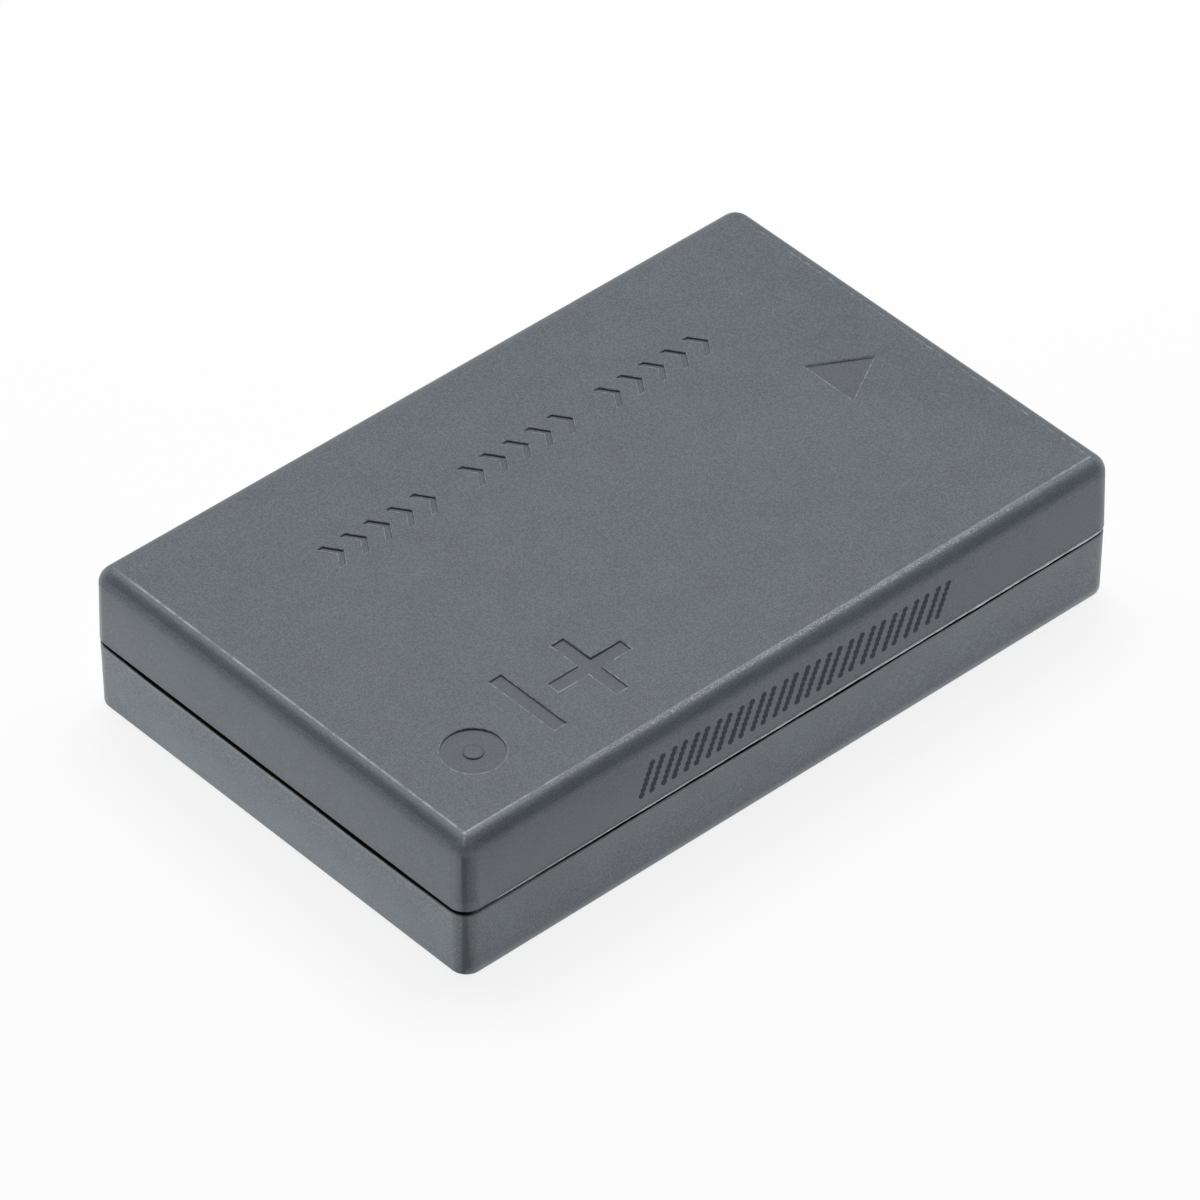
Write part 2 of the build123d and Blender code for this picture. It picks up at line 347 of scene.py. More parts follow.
def makeGrainGroup():
    tree, given, result = newGroup("surfaceGrain", "ShaderNodeTree", {
        "Light Color": (0.8, 0.8, 0.8, 1),
        "Dark Color": (0.6, 0.6, 0.6, 1),
        "Stretch": (1, 1, 1),
        "Grain Size": 0.1,
        "Patch Size": 2.0,
        "Patch Share": 0.3,
        "Low Roughness": 0.4,
        "High Roughness": 0.5,
    }, {"Color": "Color", "Roughness": "Float", "Height": "Float"})
    place = objectPlace(tree)
    drawn = vectorNode(tree, "MULTIPLY", place, given["Stretch"])
    grain = noiseNode(tree, drawn, given["Grain Size"])
    patch = noiseNode(tree, place, given["Patch Size"], detail=3.0)
    share = rangeNode(tree, mixNode(tree, "FLOAT", given["Patch Share"], grain, patch), *grainRamp)
    color = mixNode(tree, "RGBA", share, given["Dark Color"], given["Light Color"])
    roughness = mixNode(tree, "FLOAT", share, given["Low Roughness"], given["High Roughness"])
    tree.links.new(color, result["Color"])
    tree.links.new(roughness, result["Roughness"])
    tree.links.new(grain, result["Height"])
    return tree


# ramps of the edge effects: from which value to which, and what is given at both
edgeRamps = {
    # breaks in the lines of wear and painted highlight and in the specks, by their noise
    "gap": (0.36, 0.6),
    "dash": (0.46, 0.58, 0.06, 0.5),
    "speck": (0.46, 0.62),
    "fleck": (0.4, 0.56),
    # along the object, in shares of half its length
    "endLine": (-0.2, 0.2, 0.85),
    "nearLine": (-0.95, -0.3, 0.9, 0.45),
    "farLine": (0.6, 0.9, 0.0, 0.85),
    "nearGlitter": (-0.95, -0.2, 0.3),
    "farGlitter": (0.55, 0.95, 1.0, 0.15),
    "plainEnd": (-0.2, 0.2, 1.0, 0.3),
    "nearShade": (-0.95, -0.2, 1.0, 0.85),
    "farShade": (0.6, 0.97, 1.0, 0.65),
    "offEnd": (-0.985, -0.955),
    "nearGrime": (-0.95, -0.58),
    "farGrime": (0.84, 1.0, 1.0),
    # across it, in shares of half its width
    "farSide": (0.75, 0.95, 1.0),
    "endMiddle": (0.55, 0.95, 1.0, 0.2),
    "thinGrime": (0.6, 0.97, 0.5, 1.2),
    # inwards from the outline, in shares of the edge's inset
    "bandStart": (0.64, 0.84),
    "bandEnd": (1.0, 1.07, 1.0, 0.0),
    "ball": (0.75, 1.1, 1.0, 0.0),
    "diagonal": (0.05, 0.22),
    "fleckStart": (0.4, 0.52),
    "ballShade": (0.85, 1.8),
    "footShade": (0.3, 0.5, 1.0, 0.0),
    # in mm
    "overFoot": (-0.25, 0.15),
    "topShade": (-0.2, 0.1),
    "baseDepth": (0.3, 0.6, 1.0, 0.0),
    "streakStart": (0.42, 0.6, 0.0, 0.17),
    "streakEnd": (0.85, 1.15, 1.0, 0.0),
}
# what differs between the ends, first, and the long sides: ramps in shares of the inset, and strengths
sidedRamps = {
    "outerShade": ((0.22, 0.34), (0.07, 0.18)),
    "innerShade": ((0.45, 0.9, 0.62, 0.0), (0.3, 0.85, 0.46, 0.0)),
    "uprightShade": ((0.24, 0.32), (0.15, 0.32)),
}
sidedShares = {"footShade": (0.2, 0.12), "seamShade": (0.28, 0.0), "baseWear": (0.22, 0.85)}
edgeNoise = {"roughness": 0.7, "dashesPerBreak": 3.5}
outlineInputs = {"Half Length": 25.0, "Half Width": 16.0, "Edge Inset": 1.0, "Edge Foot": 9.0}


def edgePlaces(tree, given):
    # where a point lies, in mm or as a share, and whether a long side is the edge nearest to it
    place = objectPlace(tree)
    x, y, z = separateNode(tree, place)
    fromEnd = mathNode(tree, "SUBTRACT", given["Half Length"], mathNode(tree, "ABSOLUTE", x))
    fromSide = mathNode(tree, "SUBTRACT", given["Half Width"], mathNode(tree, "ABSOLUTE", y))
    inward = mathNode(tree, "MINIMUM", fromEnd, fromSide)
    further = mathNode(tree, "MAXIMUM", fromEnd, fromSide)
    aside = mathNode(tree, "DIVIDE", y, given["Half Width"])
    return {
        "place": place,
        "z": z,
        "overFoot": mathNode(tree, "SUBTRACT", z, given["Edge Foot"]),
        "ahead": mathNode(tree, "DIVIDE", x, given["Half Length"]),
        "aside": aside,
        "offMiddle": mathNode(tree, "ABSOLUTE", aside),
        "inward": inward,
        "further": further,
        "depth": mathNode(tree, "DIVIDE", inward, given["Edge Inset"]),
        "fromCorner": mathNode(tree, "DIVIDE", further, given["Edge Inset"]),
        "offCrease": apart(tree, inward, given["Edge Inset"]),
        "onSide": mathNode(tree, "GREATER_THAN", fromEnd, fromSide),
    }


def ramp(tree, value, name, *ends):
    return rangeNode(tree, value, *edgeRamps[name], *ends)


def sidedRamp(tree, edge, value, name):
    onEnd, onSide = (rangeNode(tree, value, *ends) for ends in sidedRamps[name])
    return mixNode(tree, "FLOAT", edge["onSide"], onEnd, onSide)


def sidedShare(tree, edge, name):
    return mixNode(tree, "FLOAT", edge["onSide"], *sidedShares[name])


def edgePattern(tree, edge, size, detail):
    return noiseNode(tree, edge["place"], size, detail, edgeNoise["roughness"])


def creaseWearAndHighlight(tree, given, edge):
    # rubbed wear and a painted highlight: a broken line where the flat top starts to round over, with short
    # dashes on the contact end
    line = fadeOut(tree, edge["offCrease"], given["Line Width"])
    gaps = ramp(tree, edgePattern(tree, edge, given["Break Size"], detail=4.0), "gap")
    broken = mixNode(tree, "FLOAT", given["Break Share"], 1.0, gaps)
    dashSize = mathNode(tree, "DIVIDE", given["Break Size"], edgeNoise["dashesPerBreak"])
    dashes = ramp(tree, edgePattern(tree, edge, dashSize, detail=3.0), "dash")
    endShare = ramp(tree, edge["ahead"], "endLine", dashes)
    sideShare = largest(tree, ramp(tree, edge["ahead"], "nearLine"), ramp(tree, edge["ahead"], "farLine"))
    return product(tree, line, broken, mixNode(tree, "FLOAT", edge["onSide"], endShare, sideShare))


def sideSpeckHighlight(tree, given, edge):
    # painted highlight: glittering specks on the rounded edge of the long sides
    band = product(tree, ramp(tree, edge["depth"], "bandStart"), ramp(tree, edge["depth"], "bandEnd"))
    specks = ramp(tree, edgePattern(tree, edge, given["Speck Size"], detail=3.0), "speck")
    swell = product(tree, ramp(tree, edge["ahead"], "nearGlitter", given["Speck Share"]),
                    ramp(tree, edge["ahead"], "farGlitter"))
    return product(tree, band, specks, swell, edge["onSide"])


def cornerHighlight(tree, given, edge, above):
    # painted light: a lighter ball at the top corner, flecks along its diagonal, and a bright tip where the
    # lines meet
    spread = mathNode(tree, "SUBTRACT", edge["fromCorner"], edge["depth"])
    flecks = product(tree, ramp(tree, edgePattern(tree, edge, given["Speck Size"], detail=2.0), "fleck"),
                     ramp(tree, spread, "diagonal", given["Corner Fleck"], 0.0),
                     ramp(tree, edge["depth"], "fleckStart"))
    ball = product(tree, ramp(tree, edge["fromCorner"], "ball"), ramp(tree, edge["overFoot"], "overFoot"),
                   largest(tree, flecks, given["Corner Rub"]))
    besideCrease = apart(tree, edge["further"], given["Edge Inset"])
    tip = product(tree, fadeOut(tree, besideCrease, given["Corner Spot"]),
                  fadeOut(tree, edge["offCrease"], given["Corner Spot"]), above)
    return product(tree, largest(tree, ball, tip), ramp(tree, edge["ahead"], "plainEnd"))


def baseWear(tree, given, edge):
    # painted light along the base edge, which on the ends is fainter, taller and strongest in the middle
    onEnd = product(tree, rangeNode(tree, edge["z"], given["Base Start"], given["End Base"], 1.0, 0.0),
                    ramp(tree, edge["offMiddle"], "endMiddle"))
    onSide = rangeNode(tree, edge["z"], given["Base Start"], given["Side Base"], 1.0, 0.0)
    base = mixNode(tree, "FLOAT", edge["onSide"], onEnd, onSide)
    return product(tree, base, sidedShare(tree, edge, "baseWear"), ramp(tree, edge["inward"], "baseDepth"))


def cornerLightStreak(tree, given, edge, above):
    # painted light: a pale streak on the ends of the upper shell, beside its upright corners
    further = edge["further"]
    streak = product(tree, ramp(tree, further, "streakStart"), ramp(tree, further, "streakEnd"))
    upper = mathNode(tree, "GREATER_THAN", edge["z"], given["Seam Top"])
    return product(tree, streak, upper, inverted(tree, above), inverted(tree, edge["onSide"]))


# shared effect: rubbed wear and painted highlights on the crease of the top edge, its corners, the upright
# corners and the base
def makeWearAndHighlightGroup():
    tree, given, result = newGroup("edgeWear", "ShaderNodeTree", {
        **outlineInputs,
        "Line Width": 0.1,
        "Break Size": 1.4,
        "Break Share": 0.6,
        "Speck Size": 0.14,
        "Speck Share": 0.8,
        "Far Share": 0.1,
        "Seam Top": 5.0,
        "Base Start": 0.1,
        "Side Base": 0.6,
        "End Base": 3.0,
        "Corner Rub": 0.2,
        "Corner Fleck": 0.6,
        "Corner Spot": 0.2,
    }, {"Wear": "Float"})
    edge = edgePlaces(tree, given)
    above = mathNode(tree, "GREATER_THAN", edge["z"], given["Edge Foot"])
    farFade = ramp(tree, edge["aside"], "farSide", given["Far Share"])
    crease = largest(tree, creaseWearAndHighlight(tree, given, edge), sideSpeckHighlight(tree, given, edge))
    corner = cornerHighlight(tree, given, edge, above)
    wearAndHighlight = largest(tree, product(tree, crease, farFade, above), product(tree, corner, farFade),
                   baseWear(tree, given, edge), cornerLightStreak(tree, given, edge, above))
    tree.links.new(wearAndHighlight, result["Wear"])
    return tree


# shared effect: painted shade round the top edge, down the corners and beside the seam
def makeShadeGroup():
    tree, given, result = newGroup("edgeShade", "ShaderNodeTree", {
        **outlineInputs,
        "Seam Top": 5.0,
        "Corner Share": 0.3,
        "Foot Reach": 1.2,
        "Seam Reach": 0.7,
    }, {"Shade": "Float"})
    edge = edgePlaces(tree, given)
    depth, ahead, z = edge["depth"], edge["ahead"], edge["z"]
    thinner = product(tree, ramp(tree, ahead, "nearShade"), ramp(tree, ahead, "farShade"))
    rounded = product(tree, sidedRamp(tree, edge, depth, "outerShade"),
                      sidedRamp(tree, edge, depth, "innerShade"),
                      ramp(tree, edge["fromCorner"], "ballShade", given["Corner Share"], 1.0),
                      mixNode(tree, "FLOAT", edge["onSide"], 1.0, thinner))
    upright = sidedRamp(tree, edge, depth, "uprightShade")
    body = mixNode(tree, "FLOAT", ramp(tree, edge["overFoot"], "topShade"), upright, rounded)

    footLow = mathNode(tree, "SUBTRACT", given["Edge Foot"], given["Foot Reach"])
    foot = product(tree, rangeNode(tree, z, footLow, given["Edge Foot"]),
                   sidedShare(tree, edge, "footShade"), ramp(tree, depth, "footShade"))
    seamHigh = mathNode(tree, "ADD", given["Seam Top"], given["Seam Reach"])
    upper = mathNode(tree, "GREATER_THAN", z, given["Seam Top"])
    beside = product(tree, rangeNode(tree, z, given["Seam Top"], seamHigh, 1.0, 0.0),
                     sidedShare(tree, edge, "seamShade"), upper)
    tree.links.new(largest(tree, body, foot, beside), result["Shade"])
    return tree


# shared effect: painted shade in the seam gap, deeper on the plain end, and the painted highlight line that
# runs under it
def makeSeamGapShadeGroup():
    tree, given, result = newGroup("seamGrime", "ShaderNodeTree", {
        **outlineInputs,
        "End Low": 4.4,
        "End High": 4.6,
        "Side Low": 4.4,
        "Side High": 4.6,
        "Seam Inset": 0.0,
        "Wander": 0.1,
        "Wander Size": 6.5,
        "Rub Reach": 0.2,
        "Near Share": 0.4,
        "Far Share": 0.6,
    }, {"Grime": "Float", "Rub": "Float"})
    edge = edgePlaces(tree, given)
    ahead, z = edge["ahead"], edge["z"]
    offEnd = ramp(tree, ahead, "offEnd")
    drift = mathNode(tree, "SUBTRACT", noiseNode(tree, edge["place"], given["Wander Size"], detail=1.0),
                     ramp(tree, edge["offMiddle"], "thinGrime"))
    moved = mathNode(tree, "MULTIPLY_ADD", drift, given["Wander"], z)
    low = mixNode(tree, "FLOAT", offEnd, given["End Low"], given["Side Low"])
    high = mixNode(tree, "FLOAT", offEnd, given["End High"], given["Side High"])
    filled = rangeNode(tree, moved, low, high)
    within = mathNode(tree, "GREATER_THAN", edge["inward"], given["Seam Inset"])
    under = mathNode(tree, "LESS_THAN", z, given["Edge Foot"])
    sideShare = product(tree, ramp(tree, ahead, "nearGrime", given["Near Share"], 1.0),
                        ramp(tree, ahead, "farGrime", given["Far Share"]))
    gapShade = product(tree, filled, within, under, mixNode(tree, "FLOAT", offEnd, 1.0, sideShare))
    # painted highlight on the rounded lower rim, just under the painted shade of the gap
    below = rangeNode(tree, moved, mathNode(tree, "SUBTRACT", low, given["Rub Reach"]), low)
    tree.links.new(gapShade, result["Grime"])
    tree.links.new(product(tree, below, inverted(tree, filled)), result["Rub"])
    return tree


grainGroup = makeGrainGroup()
wearAndHighlightGroup = makeWearAndHighlightGroup()
shadeGroup = makeShadeGroup()
seamGapShadeGroup = makeSeamGapShadeGroup()


def valueName(socketName):
    # the socket Line Width takes the value lineWidth
    name = socketName.replace(" ", "")
    return name[0].lower() + name[1:]


def placeGroup(tree, group, values):
    node = tree.nodes.new("ShaderNodeGroup")
    node.node_tree = group
    for socket in node.inputs:
        socket.default_value = values[valueName(socket.name)]
    return node.outputs


def newMaterial(name, finish):
    # the shader's own sockets hold what is the same all over the surface
    material = bpy.data.materials.new(name)
    material.use_nodes = True
    shader = material.node_tree.nodes["Principled BSDF"]
    shader.inputs["Metallic"].default_value = finish.get("metallic", 0.0)
    shader.inputs["Specular IOR Level"].default_value = finish.get("specular", 0.5)
    return material, material.node_tree, shader.inputs


def placeGrain(tree, finish):
    low, high = finish["roughness"]
    evenGrain = {"stretch": (1, 1, 1)}
    return placeGroup(tree, grainGroup, {**evenGrain, **finish, "lowRoughness": low, "highRoughness": high})


def finishSurface(tree, shader, color, roughness, height, depth):
    tree.links.new(color, shader["Base Color"])
    tree.links.new(roughness, shader["Roughness"])
    bump = tree.nodes.new("ShaderNodeBump")
    bump.inputs["Strength"].default_value = 1.0
    bump.inputs["Distance"].default_value = depth * mm
    tree.links.new(height, bump.inputs["Height"])
    tree.links.new(bump.outputs["Normal"], shader["Normal"])


def grainMaterial(name, finish):
    material, tree, shader = newMaterial(name, finish)
    grain = placeGrain(tree, finish)
    finishSurface(tree, shader, grain["Color"], grain["Roughness"], grain["Height"], finish["grainDepth"])
    return material


# moulded plastic of the shells: the plain surface and its variants, sizes in mm
plasticFinish = {
    "lightColor": srgb(117, 125, 133),
    "darkColor": srgb(91, 97, 103),
    "grainSize": 0.09,
    "patchSize": 2.5,
    "patchShare": 0.15,
    "roughness": (0.36, 0.48),
    "grainDepth": 0.006,
    "specular": 0.4,
}
# the lower shell is the same plastic painted lighter, as painted light for the extra light its walls get;
# its rim keeps these colours without gloss
paintedLightLowerFinish = {**plasticFinish, "lightColor": srgb(139, 147, 154), "darkColor": srgb(102, 108, 114)}
rimFinish = {**paintedLightLowerFinish, "specular": 0.0}
recessFinish = {**plasticFinish, "lightColor": srgb(109, 116, 124), "darkColor": srgb(89, 95, 101),
                "grainDepth": 0.004}
# the narrow ring round the edge of each sunk mark is painted light as a highlight
markEdgeHighlightFinish = {**plasticFinish, "lightColor": srgb(172, 179, 186), "darkColor": srgb(108, 114, 120),
                "grainSize": 0.3}
# the rim flash is painted near white as a highlight
flashHighlightFinish = {**plasticFinish, "lightColor": srgb(246, 248, 250), "darkColor": srgb(214, 220, 224),
               "grainSize": 0.5, "roughness": (0.25, 0.35)}
# wear, painted highlights and painted shade on the edges of the shells
edgeFinish = {
    "inset": 1.06,
    "foot": 0.9,
    "lineWidth": 0.12,
    "breakSize": 1.1,
    "breakShare": 0.75,
    "speckSize": 0.085,
    "speckShare": 0.8,
    "farShare": 0.1,
    "baseStart": 0.1,
    "sideBase": 0.75,
    "endBase": 3.5,
    "cornerRub": 0.2,
    "cornerFleck": 0.75,
    "cornerSpot": 0.2,
    "wornColor": srgb(186, 192, 198),
    "wornRoughness": 0.3,
    "shadeColor": srgb(70, 75, 80),
    "shadeShare": 0.75,
    "cornerShare": 0.3,
    "footReach": 1.2,
    "seamReach": 0.7,
}
# the seam and the painted shade in its gap: endReach and sideReach are how far it comes down under the lower
# rim
seamSet = {
    "height": 4.95,
    "gap": 0.2,
    "innerLap": 0.4,
    "rounding": 0.3,
    "endReach": (0.3, 0.15),
    "sideReach": (0.28, 0.21),
    "everyHeight": (-1.0, -0.5),
    "wander": 0.12,
    "wanderSize": 6.0,
    "grimeColor": srgb(16, 13, 8),
    "grimeRoughness": 0.9,
    "rubReach": 0.22,
    "rubShare": 0.3,
    "nearShare": 0.42,
    "farShare": 0.55,
}
shellOutline = {
    "halfLength": halfLength,
    "halfWidth": halfWidth,
    "edgeInset": edgeFinish["inset"],
    "edgeFoot": topZ - edgeFinish["foot"],
    "seamTop": seamSet["height"],
}


def gapShadePlace(ends, sides, inset):
    return {
        "endLow": ends[0],
        "endHigh": ends[1],
        "sideLow": sides[0],
        "sideHigh": sides[1],
        "seamInset": inset,
    }


def shellMaterial(name, finish, gapShadeSet):
    material, tree, shader = newMaterial(name, finish)
    grain = placeGrain(tree, finish)
    wearAndHighlight = placeGroup(tree, wearAndHighlightGroup, {**shellOutline, **edgeFinish})["Wear"]
    shade = placeGroup(tree, shadeGroup, {**shellOutline, **edgeFinish})["Shade"]
    seam = placeGroup(tree, seamGapShadeGroup, {**shellOutline, **seamSet, **gapShadeSet})
    # the colour takes painted shade on the edges, then wear and painted highlights, then painted shade in
    # the seam gap
    shaded = product(tree, shade, edgeFinish["shadeShare"])
    wornAndHighlighted = largest(tree, wearAndHighlight, product(tree, seam["Rub"], seamSet["rubShare"]))
    color = mixNode(tree, "RGBA", shaded, grain["Color"], edgeFinish["shadeColor"])
    color = mixNode(tree, "RGBA", wornAndHighlighted, color, edgeFinish["wornColor"])
    color = mixNode(tree, "RGBA", seam["Grime"], color, seamSet["grimeColor"])
    roughness = mixNode(tree, "FLOAT", wearAndHighlight, grain["Roughness"], edgeFinish["wornRoughness"])
    roughness = mixNode(tree, "FLOAT", seam["Grime"], roughness, seamSet["grimeRoughness"])
    finishSurface(tree, shader, color, roughness, grain["Height"], finish["grainDepth"])
    return material


# painted shade in the seam gap: on the lower shell it starts below the rim, on the upper one it fills all
# that is inside the lap
lowerRim = seamSet["height"] - seamSet["gap"]
endGapShade = [lowerRim - drop for drop in seamSet["endReach"]]
sideGapShade = [lowerRim - drop for drop in seamSet["sideReach"]]
lowerGapShade = gapShadePlace(endGapShade, sideGapShade, 0.0)
upperGapShade = gapShadePlace(seamSet["everyHeight"], seamSet["everyHeight"], seamSet["innerLap"])
shellPlastic = shellMaterial("shellPlastic", plasticFinish, upperGapShade)
lowerPlastic = shellMaterial("lowerPlastic", paintedLightLowerFinish, lowerGapShade)
rimPlastic = shellMaterial("rimPlastic", rimFinish, lowerGapShade)
recessPlastic = grainMaterial("recessPlastic", recessFinish)
rubbedPlastic = grainMaterial("rubbedPlastic", markEdgeHighlightFinish)
flashPlastic = grainMaterial("flashPlastic", flashHighlightFinish)

# printing ink, worn thin in places
inkFinish = {
    "lightColor": srgb(46, 49, 63),
    "darkColor": srgb(27, 29, 41),
    "grainSize": 0.16,
    "patchSize": 1.2,
    "patchShare": 0.3,
    "roughness": (0.45, 0.6),
    "grainDepth": 0.004,
    "specular": 0.3,
}
inkPrint = grainMaterial("inkPrint", inkFinish)

# finishes of the pieces inside, one for each material slot of the record
innerFinishes = {
    "can_metal": {"lightColor": srgb(222, 224, 226), "darkColor": srgb(196, 198, 201),
                  "stretch": (0.05, 1, 1), "grainSize": 0.12, "patchSize": 6, "patchShare": 0.3,
                  "roughness": (0.28, 0.42), "grainDepth": 0.002, "metallic": 1.0},
    "nickel": {"lightColor": srgb(216, 210, 200), "darkColor": srgb(190, 184, 174),
               "stretch": (1, 1, 0.08), "grainSize": 0.1, "patchSize": 2, "patchShare": 0.3,
               "roughness": (0.3, 0.45), "grainDepth": 0.002, "metallic": 1.0},
    "contact_gold": {"lightColor": srgb(236, 204, 134), "darkColor": srgb(206, 166, 92),
                     "stretch": (1, 1, 0.07), "grainSize": 0.14, "patchSize": 1.1, "patchShare": 0.4,
                     "roughness": (0.2, 0.42), "grainDepth": 0.003, "metallic": 1.0},
    "gasket_plastic": {"lightColor": srgb(238, 238, 232), "darkColor": srgb(226, 226, 219), "grainSize": 0.2,
                       "patchSize": 2, "patchShare": 0.4, "roughness": (0.45, 0.6), "grainDepth": 0.004},
    "insulating_sheet": {"lightColor": srgb(132, 152, 130), "darkColor": srgb(112, 132, 112),
                         "stretch": (1, 0.2, 1), "grainSize": 0.25, "patchSize": 3, "patchShare": 0.4,
                         "roughness": (0.7, 0.85), "grainDepth": 0.01},
    "chip_body": {"lightColor": srgb(54, 54, 56), "darkColor": srgb(38, 38, 40), "grainSize": 0.1,
                  "patchSize": 1, "patchShare": 0.3, "roughness": (0.5, 0.65), "grainDepth": 0.005},
    "board": {"lightColor": srgb(44, 116, 74), "darkColor": srgb(30, 92, 57),
              "stretch": (1, 0.3, 1), "grainSize": 0.6, "patchSize": 4, "patchShare": 0.4,
              "roughness": (0.25, 0.4), "grainDepth": 0.004},
    "chip_part": {"lightColor": srgb(158, 138, 116), "darkColor": srgb(140, 120, 100), "grainSize": 0.08,
                  "patchSize": 1, "patchShare": 0.3, "roughness": (0.35, 0.5), "grainDepth": 0.002},
    "pad_foam": {"lightColor": srgb(234, 234, 228), "darkColor": srgb(214, 214, 207), "grainSize": 0.18,
                 "patchSize": 2, "patchShare": 0.2, "roughness": (0.8, 0.95), "grainDepth": 0.03},
}
# pieces with plated ends: the axis that the ends lie on and how long they are, in mm
platedEnds = {
    "switch_chip": ("Z", 0.6),
    "protection_chip": ("Z", 0.6),
    "temperature_sensor": ("Y", 0.35),
    "sense_resistor": ("Y", 0.35),
    "filter_capacitor": ("Y", 0.35),
}
plateFinish = {"color": srgb(205, 204, 200), "roughness": 0.35}


def platedMaterial(node, finish):
    # a moulded or fired body whose two ends are plated metal
    axis, reach = platedEnds[node]
    low, high = (corner["XYZ".index(axis)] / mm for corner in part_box(node))
    material, tree, shader = newMaterial(f"{node}Finish", finish)
    grain = placeGrain(tree, finish)
    fromMiddle = apart(tree, separateNode(tree, objectPlace(tree))[axis], (low + high) / 2)
    plated = mathNode(tree, "GREATER_THAN", fromMiddle, (high - low) / 2 - reach)
    tree.links.new(plated, shader["Metallic"])
    color = mixNode(tree, "RGBA", plated, grain["Color"], plateFinish["color"])
    roughness = mixNode(tree, "FLOAT", plated, grain["Roughness"], plateFinish["roughness"])
    finishSurface(tree, shader, color, roughness, grain["Height"], finish["grainDepth"])
    return material


def dressInnerNodes():
    finished = {slot: grainMaterial(slot, finish) for slot, finish in innerFinishes.items()}
    for part in frame["record"]["subparts"]:
        node, slot = part["node"], part["material_slot"]
        if slot not in innerFinishes:
            continue
        material = platedMaterial(node, innerFinishes[slot]) if node in platedEnds else finished[slot]
        for place in frame["nodes"][node].material_slots:
            place.material = material


dressInnerNodes()
print("materials ready")

# the shells keep the form of their solids, with merged vertices and smooth rounded edges
shellSet = {"merge": 0.0005, "sharpAngle": 27, "draft": 1.0, "cornerRadius": 1.2}
draftSlope = math.tan(math.radians(shellSet["draft"]))

# marks that are sunk into the upper shell, in mm
sunkSet = {"depth": 0.11, "lean": 0.01, "flush": 0.004, "rub": 0.06}
arrowMark = {**sunkSet, "tip": (21.03, -0.09), "tail": 17.33, "halfWidth": 2.11}
signMark = {**sunkSet, "plus": (-9.57, -9.28), "minus": (-14.19, -9.24), "size": 5.5, "stroke": 0.95,
            "uprightMinus": True}
discMark = {**sunkSet, "place": (-19.13, -10.26), "radius": 1.89, "dotRadius": 0.6, "dotTop": 0.48,
            "dotSunk": 0.03, "segments": 72}
chevronRow = {**sunkSet, "start": (-14.4, 7.49), "count": 15, "groupSize": 5, "pitch": 1.73,
              "groupGap": 1.92, "height": 2.08, "reach": 1.15, "stroke": 0.44, "rub": 0.035}
# polarity signs over the outer contact windows
endMark = {**sunkSet, "plus": (1.3, 7.75), "minus": (9.7, 7.75), "size": 1.5, "stroke": 0.34, "rub": 0.03,
           "uprightMinus": False}


# cutters for the sunk marks: closed stacks of rings, where one band may be the narrow ring of painted
# highlight on the edge
def stackRings(name, rings, rubbedBand):
    build = bmesh.new()
    loops = [[build.verts.new(point) for point in ring] for ring in rings]
    count = len(loops[0])
    for band, (lower, upper) in enumerate(zip(loops, loops[1:])):
        for i in range(count):
            j = (i + 1) % count
            face = build.faces.new((lower[i], lower[j], upper[j], upper[i]))
            face.material_index = 1 if band == rubbedBand else 0
    build.faces.new(list(reversed(loops[0])))
    build.faces.new(loops[-1])
    bmesh.ops.recalc_face_normals(build, faces=build.faces)
    mesh = bpy.data.meshes.new(name)
    build.to_mesh(mesh)
    build.free()
    mesh.materials.append(recessPlastic)
    mesh.materials.append(rubbedPlastic)
    return makeObject(name, mesh)


def grownOutline(points, distance):
    # every side of a counter-clockwise outline moves outwards by the distance
    grown = []
    count = len(points)
    for i in range(count):
        here = Vector(points[i])
        before = (here - Vector(points[i - 1])).normalized()
        after = (Vector(points[(i + 1) % count]) - here).normalized()
        sideA = Vector((before.y, -before.x))
        sideB = Vector((after.y, -after.x))
        spread = (sideA + sideB) / (1 + sideA.dot(sideB))
        grown.append(here + spread * distance)
    return grown


def onTop(across, along, rise):
    return Vector((across, along, topZ + rise)) * mm


def onContactEnd(across, along, rise):
    drawn = (along - seamSet["height"]) * draftSlope
    return Vector((halfLength - drawn + rise, across, along)) * mm


def sunkOutline(name, points, mark, face=onTop):
    # straight walls under a narrow ring of painted highlight on the edge, which lies almost flush with the
    # face
    flush = mark["flush"]
    levels = ((-mark["depth"], -mark["lean"]), (-flush, 0), (-flush, mark["rub"]), (flush, mark["rub"]))
    rings = []
    for rise, growth in levels:
        rings.append([face(p.x, p.y, rise) for p in grownOutline(points, growth)])
    return stackRings(name, rings, rubbedBand=1)


def shifted(points, place):
    return [Vector(p) + Vector(place) for p in points]


def arrowCutter():
    tipX, tipY = arrowMark["tip"]
    half = arrowMark["halfWidth"]
    points = [(arrowMark["tail"], tipY - half), (tipX, tipY), (arrowMark["tail"], tipY + half)]
    return sunkOutline("arrowCutter", points, arrowMark)


def signCutters(name, mark, face=onTop):
    a, b = mark["size"] / 2, mark["stroke"] / 2
    plus = [(b, -a), (b, -b), (a, -b), (a, b), (b, b), (b, a),
            (-b, a), (-b, b), (-a, b), (-a, -b), (-b, -b), (-b, -a)]
    x, y = (b, a) if mark["uprightMinus"] else (a, b)
    minus = [(x, -y), (x, y), (-x, y), (-x, -y)]
    return [
        sunkOutline(f"{name}Plus", shifted(plus, mark["plus"]), mark, face),
        sunkOutline(f"{name}Minus", shifted(minus, mark["minus"]), mark, face),
    ]


